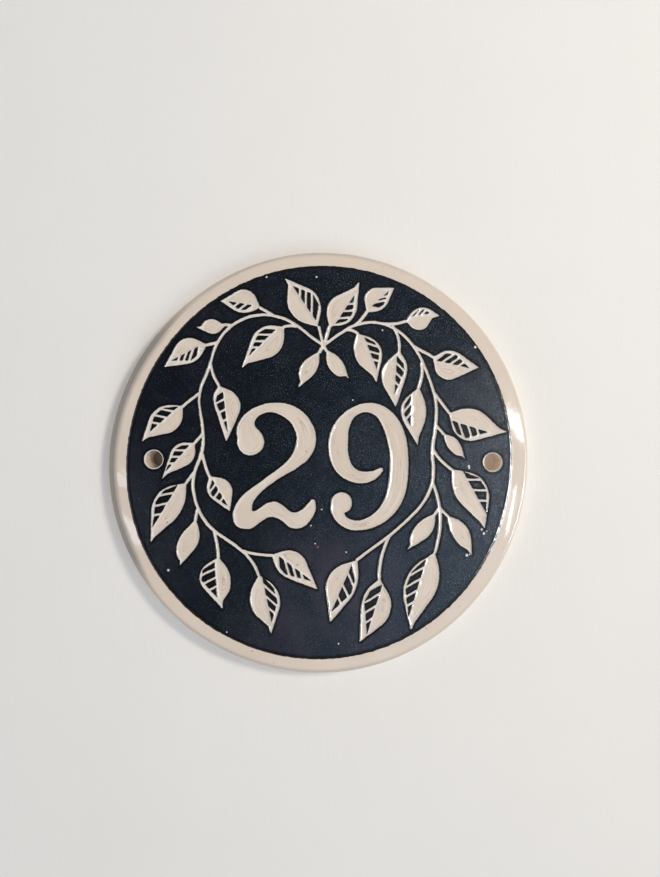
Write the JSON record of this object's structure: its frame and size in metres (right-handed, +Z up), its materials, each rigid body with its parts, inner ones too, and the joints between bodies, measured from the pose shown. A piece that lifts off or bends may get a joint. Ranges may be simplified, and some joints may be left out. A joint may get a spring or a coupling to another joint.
{
  "type": "house number plaque",
  "caption": "Round stoneware house number plaque: dark slip face carved with a leaf wreath around plain numerals, pale scraped border, and a screw hole at each side.",
  "frame": {"origin": "on the flat back face, at the middle of the dark field", "axes": "+X to the right and +Z up as seen from the front, +Y into the wall, so the carved face looks along -Y"},
  "size_m": [0.1498, 0.011, 0.1498],
  "materials": {
    "glazed_stoneware": "clear gloss glaze over dark slip carved through to pale clay"
  },
  "bodies": {
    "root": {"plaque": "glazed_stoneware"}
  },
  "joints": []
}
